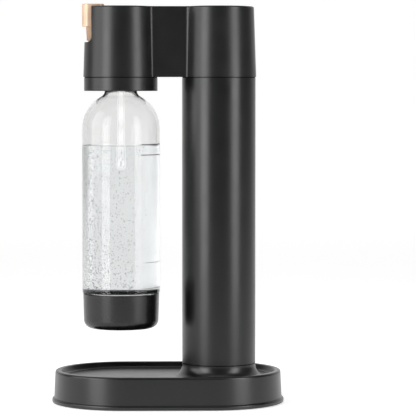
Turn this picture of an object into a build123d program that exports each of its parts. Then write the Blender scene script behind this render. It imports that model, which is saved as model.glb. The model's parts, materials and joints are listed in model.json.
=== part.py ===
"""Soda carbonator: base, cylinder column, carbonating head with lever, bottle and gas cylinder.

Millimetres. +Z is up. The origin is on the floor under the middle of the base. The head and its lever
are at -X, the column that holds the gas cylinder is at +X.
"""
import os
from math import cos, radians, sin

from build123d import *

# Base
BASE_STRAIGHT = 46.8      # half the straight run of the stadium outline
LIP_R = 82.2              # round ends of the bottom lip
WALL_R = 80.0             # wall at its foot
RIM_R = 78.6              # wall just under the rim
RIM_Z = 36.4
TRAY_Z = 29.8
TRAY_R = 69.0
SKIN = 2.5
FOOT_H = 0.8              # gap between the floor and the bottom plate
LIP_TOP = 6.0

# Column and gas cylinder
COLUMN_X = 56.6
COLUMN_R = 40.8
COLUMN_BORE = 38.2
SEAM_GROOVE = (1.1, 0.9)   # depth and height of the shadow gap at each seam
COLLAR_TOP = 43.5
FLARE_R = 50.5
PORT_R = 31.6             # the cylinder is put in from below through this hole
ROD_CIRCLE = 34.8
ROD_R = 2.0
CYL_R = 30.0
CYL_BOTTOM = 16.0

# Head
HEAD_X = -52.0
SEAM_Z = 361.6            # column top and underside of the top housing
TOP_Z = 439.4
HOUSING_R = 41.5
HOUSING_DRAFT = 1.94      # degrees
HOUSING_SKIN = 2.4
BRIDGE_HALF_HEAD = 23.5
BRIDGE_HALF_COLUMN = 21.0
RING_Z = 346.1
RING_R = 40.7
PLATE_T = 3.0
PLATE_TOP = SEAM_Z + PLATE_T
NOTCH_X = -83.7
NOTCH_Z = 400.0

# Lever and linkage
LEVER_TOP = 442.0
PIVOT = (-87.1, 403.2)
KNUCKLE_R = 2.25
PAD_FRONT = -94.5
PAD_H = 24.8              # height of the finger pad
PAD_ROUND = 8.0           # rounding of its two front corners
PAD_Y = 17.0
STEM_Y = 13.5
LUG_Y = (5.6, 8.6)        # the two lugs that hold the pivot pin, inner and outer face
LEVER_ARM = 20.5
NOSE_R = 3.0
ROCKER_UNDER = PIVOT[1] + NOSE_R + 0.25
ROCKER_PIVOT = (40.0, PIVOT[1] + 7.0)
PUSH_TOP = ROCKER_UNDER - 0.25
MANIFOLD_TOP = 390.0
BLOCK_TOP = 398.0
PIPE_Y = 8.0
PIPE_R = 1.6

# Bottle
BOTTLE_R = 43.1
FOOT_R = 39.9             # the bottle's foot, inside the cup
BOTTLE_WALL = 1.1
NECK_R = 17.9
NECK_WALL = 2.2
NECK_TOP = 370.0
SHOULDER = (328.4, 342.4)  # heights where the shoulder's slope would meet the body and the neck
CUP_BOTTOM = 83.0
CUP_TOP = 121.6
TUBE_R = 4.8
TUBE_END = 259.0


# ---------------------------------------------------------------- small helpers

def rod(x, y, z0, z1, r):
    """Upright cylinder."""
    return Pos(x, y, (z0 + z1) / 2) * Cylinder(r, z1 - z0)


def tube(x, y, z0, z1, outer, inner):
    """Upright tube."""
    return rod(x, y, z0, z1, outer) - rod(x, y, z0 - 1, z1 + 1, inner)


def rod_y(x, z, y0, y1, r):
    """Cylinder lying along Y."""
    return Pos(x, (y0 + y1) / 2, z) * Rot(90, 0, 0) * Cylinder(r, y1 - y0)


def rod_x(y, z, x0, x1, r):
    """Cylinder lying along X."""
    return Pos((x0 + x1) / 2, y, z) * Rot(0, 90, 0) * Cylinder(r, x1 - x0)


def slab(x0, x1, y0, y1, z0, z1):
    """Box from its six faces."""
    return Pos((x0 + x1) / 2, (y0 + y1) / 2, (z0 + z1) / 2) * Box(x1 - x0, y1 - y0, z1 - z0)


def section(points, rounds=()):
    """Flat face from corner points, with (corner, radius) pairs rounded."""
    face = make_face(Polyline(*points, close=True))
    for corner, radius in rounds:
        nearest = face.vertices().sort_by_distance(Vector(corner[0], corner[1], 0))[0]
        face = fillet(nearest, radius)
    return face


def turned(points, rounds=(), x=0.0, y=0.0):
    """Solid of revolution about the vertical through (x, y); points are (radius, height)."""
    return Pos(x, y, 0) * revolve(Plane.XZ * section(points, rounds), Axis.Z)


def stadium(points, rounds=()):
    """The same profile taken round the stadium outline of the base."""
    face = section(points, rounds)
    half = Rot(0, 0, -90) * revolve(Plane.XZ * face, Axis.Z, 180)
    run = Pos(-BASE_STRAIGHT, 0, 0) * extrude(Plane.YZ * face, 2 * BASE_STRAIGHT)
    solid = Pos(BASE_STRAIGHT, 0, 0) * half
    solid += Pos(-BASE_STRAIGHT, 0, 0) * Rot(0, 0, 180) * half
    solid += run
    solid += Rot(0, 0, 180) * run
    return solid


def around(x, y, radius, angles):
    """Points on a circle, angles in degrees."""
    return [(x + radius * cos(radians(a)), y + radius * sin(radians(a))) for a in angles]


def coil(x, y, z0, z1, radius, wire, turns):
    """Round-wire helical spring standing between two heights."""
    rise = z1 - z0 - 2 * wire
    path = Helix(rise / turns, rise, radius)
    wire_end = Plane(origin=path @ 0, z_dir=path % 0)
    return Pos(x, y, z0 + wire) * sweep(wire_end * Circle(wire), path=path, is_frenet=True)


def hex_prism(x, y, z0, z1, across):
    """Upright hexagonal prism."""
    return Pos(x, y, z0) * extrude(RegularPolygon(across / 2, 6, major_radius=False), z1 - z0)


def screw(x, y, head_z, tip_z, head_r=2.9, shank_r=1.4, head_h=2.0):
    """Pan-head screw with a hex socket; the head's far face is at head_z, the shank ends at tip_z."""
    up = 1 if tip_z > head_z else -1
    neck = head_z + up * head_h
    head = rod(x, y, min(head_z, neck), max(head_z, neck), head_r)
    socket = hex_prism(x, y, min(head_z, head_z + up * 1.2), max(head_z, head_z + up * 1.2), 2.4)
    shank = rod(x, y, min(neck, tip_z), max(neck, tip_z), shank_r)
    return head - socket + shank


def save(name, shape):
    """Write one sub-part."""
    export_step(shape, "parts/" + name + ".step")


def save_group(name, shapes):
    """Write several identical separate solids as one sub-part."""
    save(name, Compound(children=list(shapes)))


# ---------------------------------------------------------------- base

FEET_AT = [(sx * 100.0, sy * 42.0) for sx in (-1, 1) for sy in (-1, 1)]
BASE_SCREWS_AT = [(sx * x, sy * 58.0) for sx, x in ((-1, 62.0), (1, 88.0)) for sy in (-1, 1)]
BASE_SCREWS_AT += [(-104.0, 0.0), (112.0, 0.0)]
RODS_AT = around(COLUMN_X, 0, ROD_CIRCLE, (45, 135, 225, 315))


def base_shell():
    """Outer wall, rounded rim, sunken tray and the flared collar that carries the column."""
    shell = stadium(
        [(0, TRAY_Z - SKIN), (TRAY_R + 1.5, TRAY_Z - SKIN), (TRAY_R + 4.8, RIM_Z - 2.8),
         (RIM_R - SKIN, RIM_Z - 2.8), (WALL_R - SKIN, LIP_TOP), (WALL_R, LIP_TOP),
         (RIM_R, RIM_Z), (TRAY_R + 3.4, RIM_Z), (TRAY_R, TRAY_Z), (0, TRAY_Z)],
        [((RIM_R, RIM_Z), 2.6), ((TRAY_R + 3.4, RIM_Z), 1.8), ((TRAY_R, TRAY_Z), 4.0)])
    flare = make_face(Wire([
        Line((PORT_R, TRAY_Z - SKIN), (FLARE_R, TRAY_Z - SKIN)),
        Line((FLARE_R, TRAY_Z - SKIN), (FLARE_R, TRAY_Z)),
        ThreePointArc((FLARE_R, TRAY_Z), (43.9, 34.0), (COLUMN_R, COLLAR_TOP)),
        Line((COLUMN_R, COLLAR_TOP), (COLUMN_BORE - 0.1, COLLAR_TOP)),
        Line((COLUMN_BORE - 0.1, COLLAR_TOP), (COLUMN_BORE - 0.1, COLLAR_TOP + 5)),
        Line((COLUMN_BORE - 0.1, COLLAR_TOP + 5), (PORT_R, COLLAR_TOP + 5)),
        Line((PORT_R, COLLAR_TOP + 5), (PORT_R, TRAY_Z - SKIN))]))
    shell += Pos(COLUMN_X, 0, 0) * revolve(Plane.XZ * flare, Axis.Z)
    shell -= rod(COLUMN_X, 0, TRAY_Z - SKIN - 1, TRAY_Z + 1, PORT_R)
    shell += tube(COLUMN_X, 0, LIP_TOP - 1.4, TRAY_Z - SKIN + 0.5, PORT_R + 2.4, PORT_R)
    for x, y in BASE_SCREWS_AT:
        shell += tube(x, y, LIP_TOP - 1.4, TRAY_Z - SKIN + 0.5, 3.6, 1.4)
    for x, y in RODS_AT:
        shell -= rod(x, y, TRAY_Z, COLLAR_TOP + 6, ROD_R)
    return shell


def base_plate():
    """Bottom plate with the rounded lip that shows round the foot of the base."""
    floor = LIP_TOP - 1.5
    plate = stadium(
        [(0, FOOT_H), (LIP_R, FOOT_H), (LIP_R, LIP_TOP), (WALL_R - SKIN - 2.0, LIP_TOP),
         (WALL_R - SKIN - 2.0, floor), (0, floor)],
        [((LIP_R, FOOT_H), 1.0), ((LIP_R, LIP_TOP), 2.0)])
    plate -= rod(COLUMN_X, 0, 0, floor + 1, PORT_R + 0.4)
    for x, y in BASE_SCREWS_AT:
        plate -= rod(x, y, 0, floor + 1, 1.7)
        plate -= rod(x, y, 0, FOOT_H + 2.1, 3.2)
    for x, y in FEET_AT:
        plate -= rod(x, y, 0, FOOT_H + 1.2, 8.0)
    return plate


def rubber_feet():
    return [turned([(0, 0), (7.6, 0), (7.8, FOOT_H + 1.2), (0, FOOT_H + 1.2)], [((7.6, 0), 0.6)], x, y)
            for x, y in FEET_AT]


def base_screws():
    return [screw(x, y, FOOT_H + 0.1, 20.0) for x, y in BASE_SCREWS_AT]


# ---------------------------------------------------------------- column

def column_tube():
    """Seamless tube, turned down at both rims, which shows as a shadow gap at each seam."""
    column = tube(COLUMN_X, 0, COLLAR_TOP, SEAM_Z, COLUMN_R, COLUMN_BORE)
    depth, height = SEAM_GROOVE
    for z in (COLLAR_TOP, SEAM_Z - height):
        column -= tube(COLUMN_X, 0, z, z + height, COLUMN_R + 1, COLUMN_R - depth)
    return column


def tie_rods():
    """Four rods clamp the head, the column and the base together."""
    return [rod(x, y, TRAY_Z, PLATE_TOP + 6.5, ROD_R) for x, y in RODS_AT]


def tie_rod_nuts():
    return [hex_prism(x, y, PLATE_TOP, PLATE_TOP + 3.2, 6.4) - rod(x, y, PLATE_TOP - 1, PLATE_TOP + 4, ROD_R)
            for x, y in RODS_AT]


def guide_rings():
    """Two spacers on the rods keep the gas cylinder central."""
    rings = []
    for z in (140.0, 250.0):
        ring = tube(COLUMN_X, 0, z, z + 7, COLUMN_BORE - 0.2, CYL_R + 0.7)
        for x, y in RODS_AT:
            ring -= rod(x, y, z - 1, z + 8, ROD_R)
        rings.append(ring)
    return rings


# ---------------------------------------------------------------- gas cylinder

def co2_cylinder():
    """Aluminium bottle: rounded foot, straight body, domed shoulder and neck."""
    r = CYL_R - 0.3
    return turned(
        [(0, CYL_BOTTOM), (r, CYL_BOTTOM), (r, 334.0), (13.0, 347.0), (13.0, 352.0), (10.5, 352.0),
         (10.5, 346.0), (r - 3, 328.0), (r - 3, CYL_BOTTOM + 4), (0, CYL_BOTTOM + 4)],
        [((r, CYL_BOTTOM), 8.0), ((r, 334.0), 15.0), ((13.0, 347.0), 4.0),
         ((r - 3, 328.0), 12.0), ((r - 3, CYL_BOTTOM + 4), 5.0)], x=COLUMN_X)


def cylinder_sleeve():
    """Thin film wrapped round the straight body."""
    return tube(COLUMN_X, 0, CYL_BOTTOM + 12, 318.0, CYL_R, CYL_R - 0.3)


def cylinder_valve_body():
    """Brass valve: spigot in the neck, hexagon, and the threaded nose that seals in the head."""
    body = hex_prism(COLUMN_X, 0, 352.0, 363.0, 24.0)
    body += rod(COLUMN_X, 0, 347.0, 352.0, 10.5)
    body += rod(COLUMN_X, 0, 363.0, 380.0, 10.3)
    for z in (366.0, 370.0, 374.0):
        body -= tube(COLUMN_X, 0, z, z + 1.4, 12.0, 9.5)
    body -= rod(COLUMN_X, 0, 356.0, 378.0, 4.0)
    body -= rod(COLUMN_X, 0, 377.0, 381.0, 1.75)
    body -= rod(COLUMN_X, 0, 346.0, 357.0, 2.0)
    return body


def cylinder_valve_pin():
    """Pin that is pushed down to let gas out; a spring under its head closes it."""
    return rod(COLUMN_X, 0, 375.0, 377.7, 3.4) + rod(COLUMN_X, 0, 377.7, 382.4, 1.4)


def cylinder_valve_spring():
    return coil(COLUMN_X, 0, 356.2, 374.8, 2.7, 0.4, 7)


# ---------------------------------------------------------------- top housing and chassis

HOUSING_SCREWS_AT = [(x, side * y) for x, y in ((HEAD_X, 34.0), (COLUMN_X, 33.5)) for side in (-1, 1)]


def housing_outline(inset):
    """Plan of the housing at the seam: two circles joined by a tapering bridge."""
    bridge = Polygon((HEAD_X, -BRIDGE_HALF_HEAD + inset), (COLUMN_X, -BRIDGE_HALF_COLUMN + inset),
                     (COLUMN_X, BRIDGE_HALF_COLUMN - inset), (HEAD_X, BRIDGE_HALF_HEAD - inset), align=None)
    plan = Pos(HEAD_X, 0) * Circle(HOUSING_R - inset) + Pos(COLUMN_X, 0) * Circle(HOUSING_R - inset) + bridge
    corners = [v for v in plan.vertices() if HEAD_X + 20 < v.X < COLUMN_X - 20 and abs(v.Y) > 8]
    return fillet(corners, 3.6)


def top_housing():
    """One-piece cover of the head, bridge and column top, notched in front for the lever."""
    height = TOP_Z - SEAM_Z
    outer = Pos(0, 0, SEAM_Z) * extrude(housing_outline(0), height, taper=HOUSING_DRAFT)
    outer = fillet(outer.faces().sort_by(Axis.Z)[-1].outer_wire().edges(), 1.8)
    inner = Pos(0, 0, SEAM_Z) * extrude(housing_outline(HOUSING_SKIN), height - HOUSING_SKIN,
                                        taper=HOUSING_DRAFT)
    inner -= slab(-110, NOTCH_X + HOUSING_SKIN, -50, 50, NOTCH_Z - HOUSING_SKIN, TOP_Z)
    shell = outer - inner
    notch = slab(-110, NOTCH_X, -50, 50, NOTCH_Z, TOP_Z + 5)
    corner = notch.edges().filter_by(Axis.Y).sort_by(lambda e: e.center().Z - e.center().X * 10)
    notch = fillet([e for e in corner if e.center().X > NOTCH_X - 1 and e.center().Z < NOTCH_Z + 1], 5.0)
    shell -= notch
    shell -= slab(NOTCH_X - 8, NOTCH_X + 4, -LUG_Y[1] - 0.4, LUG_Y[1] + 0.4, NOTCH_Z + 0.4, NOTCH_Z + 12.0)
    for x, y in HOUSING_SCREWS_AT:
        shell += tube(x, y, PLATE_TOP, TOP_Z - HOUSING_SKIN + 0.5, 3.2, 1.4)
    return shell


COLLAR_SCREWS_AT = around(HEAD_X, 0, 34.2, (0, 120, 240))
MANIFOLD_SCREWS_AT = around(HEAD_X, 0, 27.5, (45, 135, 225, 315))
FORK_SCREWS_X = (COLUMN_X - 8.8, COLUMN_X + 8.8)
BLOCK_SCREWS_AT = around(COLUMN_X, 0, 23.6, (60, 180, 300))


def chassis_plate():
    """Plate that closes the underside of the housing and carries everything in it."""
    plate = Pos(0, 0, SEAM_Z) * extrude(housing_outline(HOUSING_SKIN + 0.2), PLATE_T)
    plate += tube(COLUMN_X, 0, SEAM_Z - 7, SEAM_Z, COLUMN_BORE - 0.1, COLUMN_BORE - 1.1)
    plate -= rod(HEAD_X, 0, SEAM_Z - 1, PLATE_TOP + 1, 23.0)
    plate -= rod(COLUMN_X, 0, SEAM_Z - 1, PLATE_TOP + 1, 16.0)
    for x, y in HOUSING_SCREWS_AT + COLLAR_SCREWS_AT:
        plate -= rod(x, y, SEAM_Z - 1, PLATE_TOP + 1, 1.5)
    for x, y in MANIFOLD_SCREWS_AT + BLOCK_SCREWS_AT:
        plate -= rod(x, y, SEAM_Z - 1, PLATE_TOP + 1, 1.4)
    for x, y in RODS_AT:
        plate -= rod(x, y, SEAM_Z - 1, PLATE_TOP + 1, ROD_R)
    return plate


def housing_screws():
    return [screw(x, y, SEAM_Z - 2.0, 380.0, head_r=2.6) for x, y in HOUSING_SCREWS_AT]


def head_collar_ring():
    """Separate ring under the head; its floor surrounds the bottle's neck."""
    depth, height = SEAM_GROOVE
    inside = RING_R - depth - 1.8
    ring = turned(
        [(23.2, RING_Z), (RING_R, RING_Z), (RING_R, SEAM_Z - height), (RING_R - depth, SEAM_Z - height),
         (RING_R - depth, SEAM_Z), (inside, SEAM_Z), (inside, RING_Z + 2.4), (23.2, RING_Z + 2.4)],
        [((RING_R, RING_Z), 0.8), ((23.2, RING_Z), 0.8)], x=HEAD_X)
    for x, y in COLLAR_SCREWS_AT:
        ring += tube(x, y, RING_Z + 2.0, SEAM_Z, 3.2, 1.4)
    return ring


def collar_screws():
    return [screw(x, y, PLATE_TOP + 2.0, 352.0) for x, y in COLLAR_SCREWS_AT]


# ---------------------------------------------------------------- carbonating head

def bottle_socket():
    """Threaded socket that takes the bottle's neck."""
    socket = turned(
        [(20.0, 349.0), (22.7, 349.0), (22.7, PLATE_TOP), (30.6, PLATE_TOP), (30.6, 373.0),
         (20.0, 373.0)], [((20.0, 349.0), 0.8)], x=HEAD_X)
    for x, y in MANIFOLD_SCREWS_AT:
        socket -= rod(x, y, PLATE_TOP - 1, 374.0, 1.4)
    return socket


def bottle_seal():
    """Flat rubber washer that the bottle's mouth is screwed against."""
    return tube(HEAD_X, 0, NECK_TOP + 0.3, 373.0, 19.9, 11.0)


def nozzle_manifold():
    """Block that feeds gas down the nozzle and carries the relief valve."""
    block = turned(
        [(0, 373.0), (30.6, 373.0), (30.6, 377.0), (23.5, 377.0), (23.5, MANIFOLD_TOP), (0, MANIFOLD_TOP)],
        [((23.5, MANIFOLD_TOP), 1.5)], x=HEAD_X)
    block += rod_x(PIPE_Y, 384.0, HEAD_X + 16, HEAD_X + 27, 5.0)
    block -= rod(HEAD_X, 0, 372.0, 386.0, TUBE_R)
    block -= rod_x(PIPE_Y, 384.0, HEAD_X + 2, HEAD_X + 28, PIPE_R)
    block -= rod(HEAD_X, 14.0, 372.0, MANIFOLD_TOP + 1, 1.5)
    for x, y in MANIFOLD_SCREWS_AT:
        block -= rod(x, y, 372.0, 378.0, 1.4)
    return block


def manifold_screws():
    return [screw(x, y, 379.0, SEAM_Z) for x, y in MANIFOLD_SCREWS_AT]


def nozzle_tube():
    """Clear tube that carries the gas down into the water."""
    return tube(HEAD_X, 0, TUBE_END + 4, 386.0, TUBE_R, 2.6)


def nozzle_tip():
    """Tip with a fine outlet."""
    tip = turned([(0.6, TUBE_END), (3.4, TUBE_END), (TUBE_R, TUBE_END + 2.0), (TUBE_R, TUBE_END + 4),
                  (2.6, TUBE_END + 4), (2.6, TUBE_END + 10), (0.6, TUBE_END + 10)], x=HEAD_X)
    return tip


def nozzle_oring():
    """Ring seal where the nozzle enters the manifold."""
    return Pos(HEAD_X, 0, 372.0) * Torus(TUBE_R + 1.05, 0.95) - rod(HEAD_X, 0, 360, 380, TUBE_R)


RELIEF_Y = 14.0


def relief_valve_body():
    """Over-pressure valve: seat, bore and vent holes."""
    body = rod(HEAD_X, RELIEF_Y, MANIFOLD_TOP, 404.0, 5.6)
    body -= rod(HEAD_X, RELIEF_Y, MANIFOLD_TOP - 1, 393.0, 1.5)
    body -= rod(HEAD_X, RELIEF_Y, 393.0, 405.0, 3.6)
    body -= rod_x(RELIEF_Y, 400.0, HEAD_X - 7, HEAD_X + 7, 1.0)
    return body


def relief_poppet():
    return rod(HEAD_X, RELIEF_Y, 393.0, 396.0, 3.5) + rod(HEAD_X, RELIEF_Y, 396.0, 399.0, 1.2)


def relief_spring():
    return coil(HEAD_X, RELIEF_Y, 396.1, 403.9, 2.4, 0.35, 4)


def relief_cap():
    return rod(HEAD_X, RELIEF_Y, 404.0, 406.0, 5.6) - rod(HEAD_X, RELIEF_Y, 403.0, 407.0, 1.3)


# ---------------------------------------------------------------- valve block over the cylinder

def valve_block():
    """Metal block with the socket for the cylinder's valve and the push pin's bore."""
    block = rod(COLUMN_X, 0, PLATE_TOP, BLOCK_TOP, 20.5)
    for x, y in BLOCK_SCREWS_AT:
        block += rod(x, y, PLATE_TOP, 368.0, 4.5)
        block -= rod(x, y, PLATE_TOP - 1, 369.0, 1.4)
    block += rod_x(PIPE_Y, 378.0, 32.0, 40.0, 4.6)
    block -= rod(COLUMN_X, 0, PLATE_TOP - 1, 383.0, 10.6)
    block -= rod(COLUMN_X, 0, 380.0, BLOCK_TOP + 1, 3.1)
    block -= rod_x(PIPE_Y, 386.0, 36.6, COLUMN_X, PIPE_R)
    block -= rod(36.6 + PIPE_R, PIPE_Y, 378.0, 386.0, PIPE_R)
    block -= rod_x(PIPE_Y, 378.0, 31.0, 36.6 + PIPE_R, PIPE_R)
    block -= rod_y(COLUMN_X, 388.0, 14.0, 22.0, 3.0)
    for x in FORK_SCREWS_X:
        block -= rod(x, 0, 390.0, BLOCK_TOP + 1, 1.4)
    return block


def valve_block_screws():
    return [screw(x, y, 370.0, SEAM_Z) for x, y in BLOCK_SCREWS_AT]


def valve_seal():
    """Washer that the cylinder's nose is screwed against."""
    return tube(COLUMN_X, 0, 380.3, 383.0, 10.4, 5.2)


def push_pin():
    """Pin pressed by the rocker; its tip presses the cylinder's own pin."""
    flange = PUSH_TOP - 5.4
    pin = rod(COLUMN_X, 0, 382.6, flange, 3.05) + rod(COLUMN_X, 0, flange, flange + 1.4, 5.4)
    pin += turned([(0, flange + 1.4), (3.0, flange + 1.4), (3.0, PUSH_TOP), (0, PUSH_TOP)],
                  [((3.0, PUSH_TOP), 1.5)], x=COLUMN_X)
    pin -= tube(COLUMN_X, 0, 393.0, 395.0, 5.0, 2.2)
    return pin


def push_pin_oring():
    """Ring seal in the push pin's groove."""
    return Pos(COLUMN_X, 0, 394.0) * Torus(2.65, 0.4)


def push_pin_spring():
    return coil(COLUMN_X, 0, BLOCK_TOP + 0.1, PUSH_TOP - 5.5, 4.6, 0.4, 3)


def burst_disc_plug():
    """Safety plug screwed into the side of the block."""
    plug = rod_y(COLUMN_X, 388.0, 14.0, 20.8, 3.0)
    plug += Pos(COLUMN_X, 20.5, 388.0) * Rot(-90, 0, 0) * extrude(RegularPolygon(4.5, 6), 4.0)
    return plug - rod_y(COLUMN_X, 388.0, 13.0, 23.0, 1.0)


def pipe_route():
    """Centre line of the gas pipe, from the block's outlet to the manifold's inlet."""
    return [(36.6, PIPE_Y, 378.0), (16.0, PIPE_Y, 378.0), (-6.0, PIPE_Y, 384.0), (HEAD_X + 24, PIPE_Y, 384.0)]


def gas_pipe():
    """Bent metal pipe through the bridge."""
    bend = 24.0
    print("gas pipe bend radius", bend, "pipe diameter", 2 * PIPE_R)
    path = FilletPolyline(*pipe_route(), radius=bend)
    end = Plane(origin=path @ 0, z_dir=path % 0)
    pipe = sweep(end * (Circle(PIPE_R) - Circle(PIPE_R - 0.6)), path=path)
    print("gas pipe volume", pipe.volume, "expected",
          3.14159 * (PIPE_R ** 2 - (PIPE_R - 0.6) ** 2) * path.length)
    return pipe


def pipe_nuts():
    """Union nuts at both ends of the pipe."""
    nuts = []
    for x0, z in ((25.0, 378.0), (HEAD_X + 27, 384.0)):
        nut = Pos(x0, PIPE_Y, z) * Rot(0, 90, 0) * extrude(RegularPolygon(4.6, 6), 7.0)
        nuts.append(nut - rod_x(PIPE_Y, z, x0 - 1, x0 + 8, PIPE_R))
    return nuts


# ---------------------------------------------------------------- lever and linkage

def lever_handle():
    """Finger pad with its top plate, and the tapering stem down to the pivot."""
    px, pz = PIVOT
    pad_z = LEVER_TOP - PAD_H
    back = NOTCH_X - 0.3
    pad = slab(PAD_FRONT, back, -PAD_Y, PAD_Y, pad_z, LEVER_TOP)
    pad = fillet([e for e in pad.edges().filter_by(Axis.Z) if e.center().X < PAD_FRONT + 1], PAD_ROUND)
    pad += slab(back - 2.0, back + 13.7, -PAD_Y, PAD_Y, TOP_Z + 0.4, LEVER_TOP)
    pad = fillet([e for e in pad.edges().filter_by(Axis.Z) if e.center().X > back + 13], 6.0)
    pad = fillet(pad.faces().sort_by(Axis.Z)[-1].outer_wire().edges(), 0.6)
    foot = (back, pz)
    sides = [(px - 2.9, pad_z + 0.5), (px - 2.1, pz), foot, (back, pad_z + 0.5)]
    stem = extrude(Plane.XZ * section(sides, [(foot, 2.4)]), STEM_Y, both=True)
    stem += rod_y(px, pz, -STEM_Y, STEM_Y, KNUCKLE_R)
    for side in (-1, 1):
        y0, y1 = sorted((side * (LUG_Y[0] - 0.3), side * (LUG_Y[1] + 0.3)))
        stem -= slab(px - 8, px + 8, y0, y1, pz - 4, pz + KNUCKLE_R + 0.6)
    lever = pad + stem
    lever -= rod_y(px, pz, -12.3, 20, 1.55)
    lever -= slab(px + 1.8, px + 4, -5.1, 5.1, pz - 4, pz + 12)
    return lever


def lever_arm():
    """Steel arm screwed to the back of the stem; its round nose lifts the rocker."""
    px, pz = PIVOT
    arm = slab(px + 1.8, px + 3.6, -5.0, 5.0, pz + 0.5, pz + 7.6)
    arm += slab(px + 2.7, px + LEVER_ARM, -5.0, 5.0, pz - 2.2, pz + 2.2)
    arm += rod_y(px + LEVER_ARM, pz, -5.0, 5.0, NOSE_R)
    arm -= rod_y(px, pz, -6, 6, KNUCKLE_R + 0.1)
    return arm - rod_x(0, pz + 5.0, px, px + 5, 1.3)


def lever_bracket():
    """Bracket inside the head; two lugs reach out through the slot and hold the pivot pin."""
    px, pz = PIVOT
    back = NOTCH_X + HOUSING_SKIN
    bracket = slab(back, back + 2.2, -19.0, 19.0, pz - 5.2, pz + 15.8)
    bracket -= slab(back - 1, back + 4, -LUG_Y[0] + 0.1, LUG_Y[0] - 0.1, pz - 4.0, pz + 11.8)
    for side in (-1, 1):
        y0, y1 = sorted((side * LUG_Y[0], side * LUG_Y[1]))
        bracket += slab(px, back + 1, y0, y1, pz - KNUCKLE_R, pz + KNUCKLE_R)
        bracket += rod_y(px, pz, y0, y1, KNUCKLE_R)
        bracket -= rod_y(px, pz, y0 - 1, y1 + 1, 1.5)
        bracket -= rod_x(side * 15.5, pz + 5.3, back - 1, back + 4, 1.4)
    return bracket


def lever_bracket_screws():
    """Short screws from the bracket into the wall behind the notch."""
    screws = []
    z = PIVOT[1] + 5.3
    for y in (-15.5, 15.5):
        x = NOTCH_X + HOUSING_SKIN
        screws.append(rod_x(y, z, x + 2.2, x + 3.8, 2.7) + rod_x(y, z, x, x + 2.2, 1.4))
    return screws


def lever_pivot_pin():
    return rod_y(PIVOT[0], PIVOT[1], -12.0, 13.4, 1.5)


def rocker_arm():
    """Long arm through the bridge: lifted in front by the lever, it presses the push pin behind."""
    x, z = ROCKER_PIVOT
    outline = [(-71.5, ROCKER_UNDER), (62.0, ROCKER_UNDER), (62.0, z + 0.5), (x + 6, z + 5), (x - 6, z + 5),
               (-60.0, z + 1), (-71.5, z)]
    arm = extrude(Plane.XZ * section(outline, [((62.0, z + 0.5), 2.0), ((-71.5, z), 2.0)]), 3.0, both=True)
    arm -= rod_y(x, z, -4, 4, 2.05)
    return arm - rod_y(-10.0, ROCKER_UNDER + 2.4, -4, 4, 0.8)


def rocker_bracket():
    """Fork on top of the valve block that carries the rocker's pin."""
    x, z = ROCKER_PIVOT
    fork = slab(x - 4, COLUMN_X + 12, -7.0, 7.0, BLOCK_TOP, BLOCK_TOP + 2)
    fork -= rod(COLUMN_X, 0, BLOCK_TOP - 1, BLOCK_TOP + 3, 5.4)
    for side in (-1, 1):
        y0, y1 = sorted((side * 4.0, side * 7.0))
        fork += slab(x - 4, x + 4, y0, y1, BLOCK_TOP, z) + rod_y(x, z, y0, y1, 4.0)
    fork -= rod_y(x, z, -8, 8, 2.0)
    for screw_x in FORK_SCREWS_X:
        fork -= rod(screw_x, 0, BLOCK_TOP - 1, BLOCK_TOP + 3, 1.4)
    return fork


def rocker_bracket_screws():
    return [screw(x, 0, BLOCK_TOP + 3.6, 391.0, head_r=2.4, head_h=1.6) for x in FORK_SCREWS_X]


def rocker_pin():
    x, z = ROCKER_PIVOT
    return rod_y(x, z, -7.0, 7.0, 2.0)


def lever_return_spring():
    """Extension spring from the chassis up to the rocker."""
    return coil(-10.0, 0, PLATE_TOP + 0.4, ROCKER_UNDER - 0.4, 3.2, 0.45, 14)


# ---------------------------------------------------------------- bottle

def bottle_body():
    """Clear bottle: neck with thread ridges, domed shoulder, straight body, stepped foot."""
    low = CUP_BOTTOM + 3.0
    foot = CUP_TOP + 1.4
    high, neck = SHOULDER
    r_in = BOTTLE_R - BOTTLE_WALL
    foot_in = FOOT_R - BOTTLE_WALL
    neck_in = NECK_R - NECK_WALL
    points = [
        (0, low), (FOOT_R, low), (FOOT_R, foot - 1.2), (BOTTLE_R, foot), (BOTTLE_R, high), (NECK_R, neck),
        (NECK_R, NECK_TOP), (neck_in, NECK_TOP), (neck_in, neck - 0.5), (r_in, high - BOTTLE_WALL),
        (r_in, foot + 0.4), (foot_in, foot - 1.4), (foot_in, low + BOTTLE_WALL), (0, low + BOTTLE_WALL)]
    rounds = [
        ((FOOT_R, low), 12.0), ((foot_in, low + BOTTLE_WALL), 11.0), ((BOTTLE_R, high), 40.0),
        ((NECK_R, neck), 6.5), ((neck_in, neck - 0.5), 8.0), ((r_in, high - BOTTLE_WALL), 39.0)]
    body = turned(points, rounds, x=HEAD_X)
    for z in (354.0, 359.0, 364.0):
        ridge = [(NECK_R - 0.5, z - 1.6), (NECK_R + 1.6, z - 0.5), (NECK_R + 1.6, z + 0.5),
                 (NECK_R - 0.5, z + 1.6)]
        body += turned(ridge, x=HEAD_X)
    return body


def bottle_base_cup():
    """Black cup under the bottle."""
    bore, floor = FOOT_R + 0.2, CUP_BOTTOM + 2.6
    return turned(
        [(0, CUP_BOTTOM), (41.2, CUP_BOTTOM), (42.3, CUP_TOP), (bore, CUP_TOP), (bore, floor), (0, floor)],
        [((41.2, CUP_BOTTOM), 9.5), ((42.3, CUP_TOP), 0.6), ((bore, floor), 10.0)], x=HEAD_X)


# ---------------------------------------------------------------- write everything

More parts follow.
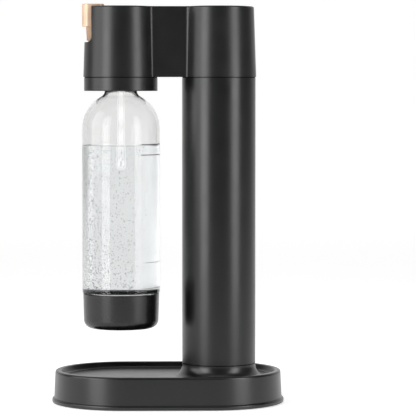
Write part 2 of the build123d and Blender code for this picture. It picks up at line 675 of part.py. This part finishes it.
SINGLE = [
    base_shell, base_plate, column_tube, co2_cylinder, cylinder_sleeve, cylinder_valve_body,
    cylinder_valve_pin, cylinder_valve_spring, top_housing, chassis_plate, head_collar_ring,
    bottle_socket, bottle_seal, nozzle_manifold, nozzle_tube, nozzle_tip, nozzle_oring,
    relief_valve_body, relief_poppet, relief_spring, relief_cap, valve_block, valve_seal, push_pin,
    push_pin_oring, push_pin_spring, burst_disc_plug, gas_pipe, lever_handle, lever_arm, lever_bracket,
    lever_pivot_pin, rocker_arm, rocker_bracket, rocker_pin, lever_return_spring, bottle_body,
    bottle_base_cup]
GROUPS = [
    rubber_feet, base_screws, tie_rods, tie_rod_nuts, guide_rings, housing_screws, collar_screws,
    manifold_screws, valve_block_screws, pipe_nuts, lever_bracket_screws, rocker_bracket_screws]

os.makedirs("parts", exist_ok=True)
for make in SINGLE:
    save(make.__name__, make())
for make in GROUPS:
    save_group(make.__name__, make())
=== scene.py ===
"""Soda carbonator: materials, water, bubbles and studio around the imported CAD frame."""
import json
import math
import random

import bmesh
import bpy
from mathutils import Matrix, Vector


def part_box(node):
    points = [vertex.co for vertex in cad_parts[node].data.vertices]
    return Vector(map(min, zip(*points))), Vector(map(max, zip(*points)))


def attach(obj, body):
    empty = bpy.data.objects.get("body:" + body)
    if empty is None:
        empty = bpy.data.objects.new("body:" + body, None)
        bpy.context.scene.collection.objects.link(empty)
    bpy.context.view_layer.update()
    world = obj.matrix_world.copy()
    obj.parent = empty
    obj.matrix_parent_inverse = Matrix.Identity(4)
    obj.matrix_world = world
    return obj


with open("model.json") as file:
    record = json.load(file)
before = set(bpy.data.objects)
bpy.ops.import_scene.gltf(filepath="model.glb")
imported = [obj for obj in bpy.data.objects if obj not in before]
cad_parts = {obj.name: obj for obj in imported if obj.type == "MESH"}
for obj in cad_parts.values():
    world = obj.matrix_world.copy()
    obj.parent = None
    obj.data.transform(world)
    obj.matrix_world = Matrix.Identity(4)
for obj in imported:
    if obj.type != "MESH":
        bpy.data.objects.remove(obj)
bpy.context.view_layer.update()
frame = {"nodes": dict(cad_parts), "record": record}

MM = 0.001
PLASTIC_IOR = 1.5
WATER_IOR = 1.333
MILKY_IOR = 1.14          # a thin tube of milky plastic hardly bends what is seen through it

PAPER_NEAR, PAPER_FAR = 0.9, 0.3      # tone of the paper under the object and behind it
SIDE_NEAR, SIDE_FAR = (1.5, 2.5), (2.1, 3.6)   # how far aside the paper's painted light starts and ends to fade: painted shade towards the sides
GLOW_NEAR, GLOW_FAR = (0.56, 0.4), (0.88, 0.6)  # the paper's glow, painted light, in the middle and aside

# ---------------------------------------------------------------- node helpers


def new_material(name):
    """Empty node material with a Principled shader; returns (material, nodes, links, shader)."""
    mat = bpy.data.materials.new(name)
    mat.use_nodes = True
    nodes, links = mat.node_tree.nodes, mat.node_tree.links
    nodes.clear()
    out = nodes.new("ShaderNodeOutputMaterial")
    shader = nodes.new("ShaderNodeBsdfPrincipled")
    links.new(shader.outputs["BSDF"], out.inputs["Surface"])
    return mat, nodes, links, shader


def object_coords(nodes, links, stretch=(1.0, 1.0, 1.0)):
    """Object coordinates in metres, stretched per axis."""
    coords = nodes.new("ShaderNodeTexCoord")
    mapping = nodes.new("ShaderNodeMapping")
    mapping.inputs["Scale"].default_value = stretch
    links.new(coords.outputs["Object"], mapping.inputs["Vector"])
    return mapping.outputs["Vector"]


def noise(nodes, links, vector, scale, detail=3.0, roughness=0.5):
    """Noise factor at a scale in features per metre."""
    tex = nodes.new("ShaderNodeTexNoise")
    tex.inputs["Scale"].default_value = scale
    tex.inputs["Detail"].default_value = detail
    tex.inputs["Roughness"].default_value = roughness
    links.new(vector, tex.inputs["Vector"])
    return tex.outputs["Fac"]


def ramp(nodes, links, fac, low, high, start=0.3, end=0.7):
    """Colour ramp between two colours."""
    node = nodes.new("ShaderNodeValToRGB")
    first, last = node.color_ramp.elements
    first.position, first.color = start, (*low, 1.0)
    last.position, last.color = end, (*high, 1.0)
    links.new(fac, node.inputs["Fac"])
    return node.outputs["Color"]


def spread(nodes, links, fac, low, high):
    """Noise factor mapped to a range of values."""
    node = nodes.new("ShaderNodeMapRange")
    node.inputs["From Min"].default_value = 0.3
    node.inputs["From Max"].default_value = 0.7
    node.inputs["To Min"].default_value = low
    node.inputs["To Max"].default_value = high
    links.new(fac, node.inputs["Value"])
    return node.outputs["Result"]


def fade(nodes, links, source, start, end, low, high):
    """A number that goes smoothly from low to high while the source goes from start to end."""
    node = nodes.new("ShaderNodeMapRange")
    fade.interpolation_type = "SMOOTHSTEP"
    for socket, value in (("From Min", start), ("From Max", end), ("To Min", low), ("To Max", high)):
        node.inputs[socket].default_value = value
    links.new(source, node.inputs["Value"])
    return node.outputs["Result"]


def bump(nodes, links, shader, fac, distance, strength=1.0):
    """Surface relief of the given depth in metres."""
    node = nodes.new("ShaderNodeBump")
    node.inputs["Distance"].default_value = distance
    node.inputs["Strength"].default_value = strength
    links.new(fac, node.inputs["Height"])
    links.new(node.outputs["Normal"], shader.inputs["Normal"])


def shade(colour, factor):
    """A colour made lighter or darker."""
    return tuple(min(1.0, c * factor) for c in colour)


# ---------------------------------------------------------------- materials


def moulded(name, colour, rough, grain=2600.0, depth=0.000012, metallic=0.0, specular=0.5):
    """Moulded or coated surface: fine grain, faint mottling of colour and gloss."""
    mat, nodes, links, shader = new_material(name)
    vector = object_coords(nodes, links)
    mottle = noise(nodes, links, vector, 45.0, 4.0)
    fine = noise(nodes, links, vector, grain, 2.0)
    tone = ramp(nodes, links, mottle, shade(colour, 0.88), shade(colour, 1.12))
    links.new(tone, shader.inputs["Base Color"])
    links.new(spread(nodes, links, mottle, rough - 0.025, rough + 0.025), shader.inputs["Roughness"])
    shader.inputs["Metallic"].default_value = metallic
    shader.inputs["IOR"].default_value = PLASTIC_IOR
    shader.inputs["Specular IOR Level"].default_value = specular
    bump(nodes, links, shader, fine, depth)
    return mat


def brushed(name, colour, rough, stretch=(1.0, 1.0, 30.0), scale=700.0, depth=0.000006):
    """Metal with fine drawn or brushed lines across the stretched axis."""
    mat, nodes, links, shader = new_material(name)
    vector = object_coords(nodes, links, stretch)
    lines = noise(nodes, links, vector, scale, 4.0, 0.6)
    stain = noise(nodes, links, object_coords(nodes, links), 60.0, 3.0)
    tone = ramp(nodes, links, stain, shade(colour, 0.92), shade(colour, 1.06))
    links.new(tone, shader.inputs["Base Color"])
    links.new(spread(nodes, links, lines, rough - 0.05, rough + 0.06), shader.inputs["Roughness"])
    shader.inputs["Metallic"].default_value = 1.0
    bump(nodes, links, shader, lines, depth)
    return mat


def clear(name, colour, ior, rough=0.0, ripple=0.0, ripple_scale=30.0, gloss=1.0):
    """Clear body with a faint moulding ripple."""
    mat, nodes, links, shader = new_material(name)
    vector = object_coords(nodes, links)
    wave = noise(nodes, links, vector, ripple_scale, 2.0)
    links.new(ramp(nodes, links, wave, shade(colour, 0.985), colour), shader.inputs["Base Color"])
    shader.inputs["Roughness"].default_value = rough
    shader.inputs["IOR"].default_value = ior
    shader.inputs["Transmission Weight"].default_value = 1.0
    shader.inputs["Specular Tint"].default_value = (gloss, gloss, gloss, 1.0)
    if ripple:
        bump(nodes, links, shader, wave, ripple)
    return mat


def translucent_with_painted_glow(name, colour):
    """Milky moulded plastic that lets some light through, with a faint white glow of painted light."""
    mat = moulded(name, colour, 0.2, grain=1200.0, depth=0.000006)
    shader = mat.node_tree.nodes["Principled BSDF"]
    shader.inputs["Transmission Weight"].default_value = 0.97
    shader.inputs["IOR"].default_value = MILKY_IOR
    # Faint white emission: painted light, so the thin tube reads bright.
    shader.inputs["Emission Color"].default_value = (1.0, 1.0, 1.0, 1.0)
    shader.inputs["Emission Strength"].default_value = 0.1
    return mat


def rubber(name, colour):
    """Matt rubber with a chalky mottling."""
    return moulded(name, colour, 0.75, grain=1500.0, depth=0.00003)


BLACK = (0.0045, 0.0045, 0.0048)
# A darker copy of the same satin black for base, column and cup: painted shade, set lower to offset the light
# these parts catch from the paper and the strips.
SHADED_BLACK = (0.002, 0.002, 0.0022)
GREY = (0.21, 0.215, 0.22)
GOLD = (0.64, 0.44, 0.305)
STEEL = (0.56, 0.57, 0.58)

FINISH = {
    "base_black": moulded("satin_black_base", SHADED_BLACK, 0.3, specular=0.6),
    "housing_black": moulded("satin_black_housing", BLACK, 0.33),
    "column_black": moulded("satin_black_column", SHADED_BLACK, 0.3, grain=3400.0, depth=0.000006),
    "lever_gold": moulded("champagne_lever", GOLD, 0.36, grain=3000.0, depth=0.000006, metallic=0.22),
    "rubber_black": rubber("black_rubber", (0.02, 0.02, 0.02)),
    "fastener_steel": brushed("zinc_steel", STEEL, 0.35, (1.0, 1.0, 8.0), 900.0),
    "spring_steel": brushed("spring_wire", STEEL, 0.25, (1.0, 1.0, 4.0), 1200.0),
    "link_steel": brushed("tumbled_steel", shade(STEEL, 0.9), 0.42, (1.0, 6.0, 1.0), 800.0),
    "valve_brass": brushed("turned_brass", (0.72, 0.5, 0.22), 0.28, (1.0, 1.0, 25.0), 900.0),
    "pipe_copper": brushed("drawn_copper", (0.75, 0.38, 0.24), 0.25, (0.1, 1.0, 1.0), 1500.0),
    "block_aluminium": brushed("machined_aluminium", (0.72, 0.73, 0.74), 0.3, (1.0, 1.0, 20.0), 800.0),
    "cylinder_aluminium": brushed("spun_aluminium", (0.68, 0.69, 0.7), 0.36, (1.0, 1.0, 25.0), 600.0),
    "sleeve_black": moulded("sleeve_film", (0.02, 0.016, 0.018), 0.3, grain=900.0, depth=0.00001),
    "chassis_grey": moulded("moulded_grey", GREY, 0.5),
    "bottle_clear": clear("clear_bottle", (0.9, 0.9, 0.898), PLASTIC_IOR, 0.05, 0.00004, 25.0, gloss=0.25),
    "cup_black": moulded("satin_black_cup", SHADED_BLACK, 0.27, depth=0.000006),
    "nozzle_clear": translucent_with_painted_glow("translucent_nozzle_painted_glow", (1.0, 1.0, 1.0)),
}
# Near-black, nearly without shine: painted shade laid in the seam gaps.
SEAM_PAINTED_SHADE = moulded("seam_painted_shade", (0.001, 0.001, 0.001), 0.95, grain=1500.0, depth=0.00002, specular=0.05)
LEVEL_INK = moulded("level_ink", (0.05, 0.055, 0.06), 0.5, grain=1500.0)


def matt_above(mat, height):
    """The skin above a height, in the piece's own frame, shines much less at a glancing angle."""
    nodes, links = mat.node_tree.nodes, mat.node_tree.links
    axes = nodes.new("ShaderNodeSeparateXYZ")
    links.new(object_coords(nodes, links), axes.inputs["Vector"])
    shine = fade(nodes, links, axes.outputs["Z"], height - 0.5 * MM, height - 0.1 * MM, 0.5, 0.06)
    links.new(shine, nodes["Principled BSDF"].inputs["Specular IOR Level"])


def dress_nodes():
    """Every CAD node gets the finish of its material slot."""
    matt_above(FINISH["housing_black"], max(v.co.z for v in frame["nodes"]["top_housing"].data.vertices))
    slots = {entry["node"]: entry["material_slot"] for entry in frame["record"]["subparts"]}
    for name, node in frame["nodes"].items():
        mat = FINISH[slots[name]]
        if not node.material_slots:
            node.data.materials.append(mat)
        for place in node.material_slots:
            place.material = mat


# ---------------------------------------------------------------- geometry helpers


def mesh_piece(name, verts, faces, smooth=True):
    """New mesh object from plain vertex and face lists."""
    mesh = bpy.data.meshes.new(name)
    mesh.from_pydata(verts, [], faces)
    mesh.update()
    if smooth:
        mesh.shade_smooth()
    piece = bpy.data.objects.new(name, mesh)
    bpy.context.scene.collection.objects.link(piece)
    return piece


def lathe(name, profile, centre, steps=96):
    """Closed solid of revolution; the profile starts and ends on the axis."""
    inner = profile[1:-1]
    verts = [(centre[0], centre[1], profile[0][1]), (centre[0], centre[1], profile[-1][1])]
    for step in range(steps):
        angle = 2 * math.pi * step / steps
        for radius, height in inner:
            verts.append((centre[0] + radius * math.cos(angle), centre[1] + radius * math.sin(angle), height))
    count = len(inner)
    faces = []
    for step in range(steps):
        here, there = 2 + step * count, 2 + (step + 1) % steps * count
        faces.append((0, there, here))
        faces.append((1, here + count - 1, there + count - 1))
        for row in range(count - 1):
            faces.append((here + row, there + row, there + row + 1, here + row + 1))
    piece = mesh_piece(name, verts, faces)
    piece.data.set_sharp_from_angle(angle=math.radians(22))
    return piece


# ---------------------------------------------------------------- bottle contents

BOTTLE_LOW, BOTTLE_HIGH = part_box("bottle_body")
BOTTLE_X = (BOTTLE_LOW[0] + BOTTLE_HIGH[0]) / 2
BOTTLE_R = (BOTTLE_HIGH[0] - BOTTLE_LOW[0]) / 2
BOTTLE_WALL = 1.1 * MM
FLOOR_Z = BOTTLE_LOW[2] + BOTTLE_WALL
STEP_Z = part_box("bottle_base_cup")[1][2] + 1.8 * MM
WATER_Z = BOTTLE_LOW[2] + 200 * MM
WATER_R = BOTTLE_R - BOTTLE_WALL
FOOT_STEP = 3.2 * MM      # the bottle is this much narrower inside its cup
INTO_WALL = 0.12 * MM     # the water's skin lies inside the wall, so that no air film shows


def water():
    """Water body with a small meniscus at the wall."""
    low_r = WATER_R - FOOT_STEP
    out = INTO_WALL
    bend = 11 * MM + out
    profile = [(0, FLOOR_Z - out)]
    for step in range(7):
        turn = math.radians(15 * step)
        inward, upward = bend * (1 - math.sin(turn)), bend * (1 - math.cos(turn))
        profile.append((low_r + out - inward, FLOOR_Z - out + upward))
    profile += [
        (low_r + out, STEP_Z - 2.0 * MM),
        (WATER_R + out, STEP_Z),
        (WATER_R + out, WATER_Z + 0.3 * MM),
        (WATER_R - 0.5 * MM, WATER_Z),
        (0, WATER_Z),
    ]
    body = lathe("water", profile, (BOTTLE_X, 0))
    body.data.materials.append(clear("water_clear", (0.955, 0.975, 0.985), WATER_IOR, gloss=0.3))
    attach(body, "bottle")


WALL_SIDE = (214, 15)     # degrees round the bottle: middle and spread of the bubbles on its wall
PLUME_SHIFT = -4 * MM     # the rising bubbles drift towards the lever
PLUME_REACH = 0.6         # how much of the bottle's radius they fill


def bubbles(name, count, seed, sizes, at_wall, colour, clarity):
    """Fine bubbles of gas, thickest low down: along the wall at the head's lever side, or rising."""
    rng = random.Random(seed)
    shape = bmesh.new()
    bottom, top = STEP_Z + 2 * MM, WATER_Z - 1.5 * MM
    for _ in range(count):
        height = rng.random() ** (1.2 if at_wall else 1.3)
        if at_wall:
            centre = BOTTLE_X
            angle = math.radians(rng.gauss(*WALL_SIDE))
            reach = (WATER_R - 1.4 * MM) * rng.uniform(0.96, 1.0)
        else:
            centre = BOTTLE_X + PLUME_SHIFT
            angle = rng.uniform(0, 2 * math.pi)
            reach = PLUME_REACH * WATER_R * math.sqrt(rng.random())
        place = (centre + reach * math.cos(angle), reach * math.sin(angle), bottom + (top - bottom) * height)
        made = bmesh.ops.create_icosphere(shape, subdivisions=1, radius=rng.uniform(*sizes) * MM)
        bmesh.ops.translate(shape, verts=made["verts"], vec=Vector(place))
    mesh = bpy.data.meshes.new(name)
    shape.to_mesh(mesh)
    shape.free()
    mesh.shade_smooth()
    piece = bpy.data.objects.new(name, mesh)
    bpy.context.scene.collection.objects.link(piece)
    # The grey tint and the low clarity are painted shade and painted reflection: the gas itself has no
    # colour.
    gas = clear(name + "_gas", colour, 1.0 / WATER_IOR)
    gas.node_tree.nodes["Principled BSDF"].inputs["Transmission Weight"].default_value = clarity
    piece.data.materials.append(gas)
    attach(piece, "bottle")


def level_line(name, height, start, end, width=0.9 * MM):
    """Thin printed line round part of the bottle, between two angles in degrees."""
    steps = max(8, int((end - start) / 3))
    thick = 0.06 * MM
    verts, faces = [], []
    for step in range(steps + 1):
        angle = math.radians(start + (end - start) * step / steps)
        for radius in (BOTTLE_R + 0.01 * MM, BOTTLE_R + 0.01 * MM + thick):
            for z in (height - width / 2, height + width / 2):
                verts.append((BOTTLE_X + radius * math.cos(angle), radius * math.sin(angle), z))
    for step in range(steps):
        a, b = 4 * step, 4 * step + 4
        for i, j in ((0, 1), (1, 3), (3, 2), (2, 0)):
            faces.append((a + i, a + j, b + j, b + i))
    faces.append((0, 2, 3, 1))
    last = 4 * steps
    faces.append((last, last + 1, last + 3, last + 2))
    line = mesh_piece(name, verts, faces, smooth=False)
    line.data.materials.append(LEVEL_INK)
    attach(line, "bottle")


# ---------------------------------------------------------------- seams: painted shade in the gaps


def painted_seam_shade(name, centre_x, radius, low, high):
    """Near-black matt strip at the bottom of the gap between two mouldings: painted shade, darker than the
    gap itself would be.
    """
    steps, thick = 96, 0.3 * MM
    rim = [(radius - thick, low), (radius, low), (radius, high), (radius - thick, high)]
    verts, faces = [], []
    for step in range(steps):
        angle = 2 * math.pi * step / steps
        for r, z in rim:
            verts.append((centre_x + r * math.cos(angle), r * math.sin(angle), z))
    for step in range(steps):
        here, there = 4 * step, 4 * ((step + 1) % steps)
        for corner in range(4):
            after = (corner + 1) % 4
            faces.append((here + corner, there + corner, there + after, here + after))
    shade_strip = mesh_piece(name, verts, faces, smooth=False)
    shade_strip.data.materials.append(SEAM_PAINTED_SHADE)
    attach(shade_strip, "frame")


def painted_seam_shades():
    """One strip of painted shade in each of the three gaps: column foot, column top, head ring."""
    low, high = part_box("column_tube")
    ring_low, ring_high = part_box("head_collar_ring")
    column_x, column_r = (low[0] + high[0]) / 2, (high[0] - low[0]) / 2
    ring_x, ring_r = (ring_low[0] + ring_high[0]) / 2, (ring_high[0] - ring_low[0]) / 2
    gap, back, clear_of_end = 0.85 * MM, 0.45 * MM, 0.02 * MM
    painted_seam_shade("painted_seam_shade_foot", column_x, column_r - back, low[2] + clear_of_end, low[2] + gap)
    painted_seam_shade("painted_seam_shade_column", column_x, column_r - back, high[2] - gap, high[2] - clear_of_end)
    painted_seam_shade("painted_seam_shade_head", ring_x, ring_r - back, ring_high[2] - gap, ring_high[2] - clear_of_end)


# ---------------------------------------------------------------- studio


def strip(name, azimuth, width, height, centre_z, distance, radiance):
    """Tall softbox at an azimuth from the camera's side of the object, facing it."""
    data = bpy.data.lights.new(name, "AREA")
    data.shape = "RECTANGLE"
    data.size, data.size_y = width, height
    data.energy = radiance * math.pi * width * height
    lamp = bpy.data.objects.new(name, data)
    angle = math.radians(azimuth)
    lamp.location = (distance * math.sin(angle), -distance * math.cos(angle), centre_z)
    aim = Vector((0, 0, centre_z)) - lamp.location
    lamp.rotation_euler = aim.to_track_quat("-Z", "Y").to_euler()
    lamp.visible_camera = False
    bpy.context.scene.collection.objects.link(lamp)
    return lamp


def paper_sweep(front, back, half_width, bend, height):
    """Floor and backdrop in one sheet of pale paper, curved up behind the object; its glow is painted light,
    fading aside and on the floor in front as painted shade.
    """
    profile = [(front, 0.0), (-1.0, 0.0), (0.5, 0.0)]
    for step in range(25):
        turn = math.radians(90 * step / 24)
        profile.append((back - bend * (1 - math.sin(turn)), bend * (1 - math.cos(turn))))
    profile.append((back, height))
    verts = [(side * half_width, y, z) for y, z in profile for side in (-1, 1)]
    faces = [(2 * n, 2 * n + 1, 2 * n + 3, 2 * n + 2) for n in range(len(profile) - 1)]
    sheet = mesh_piece("paper_sweep", verts, faces, smooth=True)
    mat, nodes, links, shader = new_material("paper")
    vector = object_coords(nodes, links)
    axes = nodes.new("ShaderNodeSeparateXYZ")
    links.new(vector, axes.inputs["Vector"])
    aside = nodes.new("ShaderNodeMath")
    aside.operation = "ABSOLUTE"
    links.new(axes.outputs["X"], aside.inputs[0])
    away = fade(nodes, links, axes.outputs["Y"], 0.6, 3.6, 0.0, 1.0)
    tone = nodes.new("ShaderNodeMix")
    tone.data_type = "RGBA"
    links.new(away, tone.inputs["Factor"])
    mottle = noise(nodes, links, vector, 2.0, 2.0)
    grain = ramp(nodes, links, mottle, (PAPER_NEAR - 0.01,) * 3, (PAPER_NEAR,) * 3)
    links.new(grain, tone.inputs["A"])
    tone.inputs["B"].default_value = (PAPER_FAR, PAPER_FAR, PAPER_FAR, 1)
    links.new(tone.outputs["Result"], shader.inputs["Base Color"])
    shader.inputs["Roughness"].default_value = 0.9
    shader.inputs["Specular IOR Level"].default_value = 0.0
    shader.inputs["Emission Color"].default_value = (1, 1, 1, 1)
    glow = nodes.new("ShaderNodeMix")
    links.new(away, glow.inputs["Factor"])
    links.new(fade(nodes, links, aside.outputs[0], *SIDE_NEAR, *GLOW_NEAR), glow.inputs["A"])
    links.new(fade(nodes, links, aside.outputs[0], *SIDE_FAR, *GLOW_FAR), glow.inputs["B"])
    near = nodes.new("ShaderNodeMath")
    near.operation = "MULTIPLY"
    links.new(glow.outputs["Result"], near.inputs[0])
    # Painted shade: the glow dims on the floor in front, so the black parts reflect less light low down.
    links.new(fade(nodes, links, axes.outputs["Y"], -1.6, -0.15, 0.2, 1.0), near.inputs[1])
    links.new(near.outputs[0], shader.inputs["Emission Strength"])
    sheet.data.materials.append(mat)


def studio():
    """Pale paper, two tall strips in front, a softer one at the lever's side, weak fill all round."""
    world = bpy.data.worlds.new("studio")
    bpy.context.scene.world = world
    world.use_nodes = True
    sky = world.node_tree.nodes["Background"]
    sky.inputs["Color"].default_value = (1.0, 1.0, 1.0, 1.0)
    sky.inputs["Strength"].default_value = 0.16
    paper_sweep(front=-7.5, back=5.4, half_width=8.0, bend=1.8, height=7.0)
    strip("strip_left", azimuth=-46, width=0.66, height=1.8, centre_z=0.5, distance=1.5, radiance=5.6)
    strip("strip_right", azimuth=52, width=0.6, height=1.8, centre_z=0.5, distance=1.5, radiance=5.0)
    strip("strip_side", azimuth=-79, width=0.85, height=1.5, centre_z=0.95, distance=1.5, radiance=2.6)
    top = strip("top_fill", azimuth=0, width=1.4, height=1.4, centre_z=1.9, distance=0.05, radiance=0.8)
    top.rotation_euler = (0, 0, 0)     # straight down
    bpy.context.scene.view_settings.view_transform = "Standard"


def camera():
    """Long lens at lever height, slightly towards the head, tilted down a little."""
    base_low, base_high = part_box("base_plate")
    middle = (base_low[0] + base_high[0]) / 2
    distance, yaw, pitch = 2.56, math.radians(1.15), math.radians(2.88)
    aside, lever_height = 44.6 * MM, 345 * MM
    target = Vector((middle + aside, 0.0, lever_height))
    data = bpy.data.cameras.new("camera")
    data.sensor_width, data.lens = 36.0, 199.5
    cam = bpy.data.objects.new("camera", data)
    cam.location = target - distance * Vector((math.sin(yaw), math.cos(yaw), 0))
    cam.rotation_euler = (math.radians(90) - pitch, 0, -yaw)
    bpy.context.scene.collection.objects.link(cam)
    bpy.context.scene.camera = cam


dress_nodes()
water()
bubbles("bubbles_wall", 560, 7, (0.36, 0.6), True, (0.36, 0.38, 0.46), 0.25)
bubbles("bubbles_rising", 620, 11, (0.36, 0.6), False, (0.6, 0.6, 0.6), 0.35)
LINE_TOP = WATER_Z + 1.6 * MM
level_line("level_line_upper", LINE_TOP, -58, 10)
level_line("level_line_lower", LINE_TOP - 11.6 * MM, -58, 10)
level_line("level_line_cold", LINE_TOP - 130 * MM, -50, 5, 0.5 * MM)
level_line("level_line_base", LINE_TOP - 158.5 * MM, -54, 5, 0.5 * MM)
painted_seam_shades()
studio()
camera()
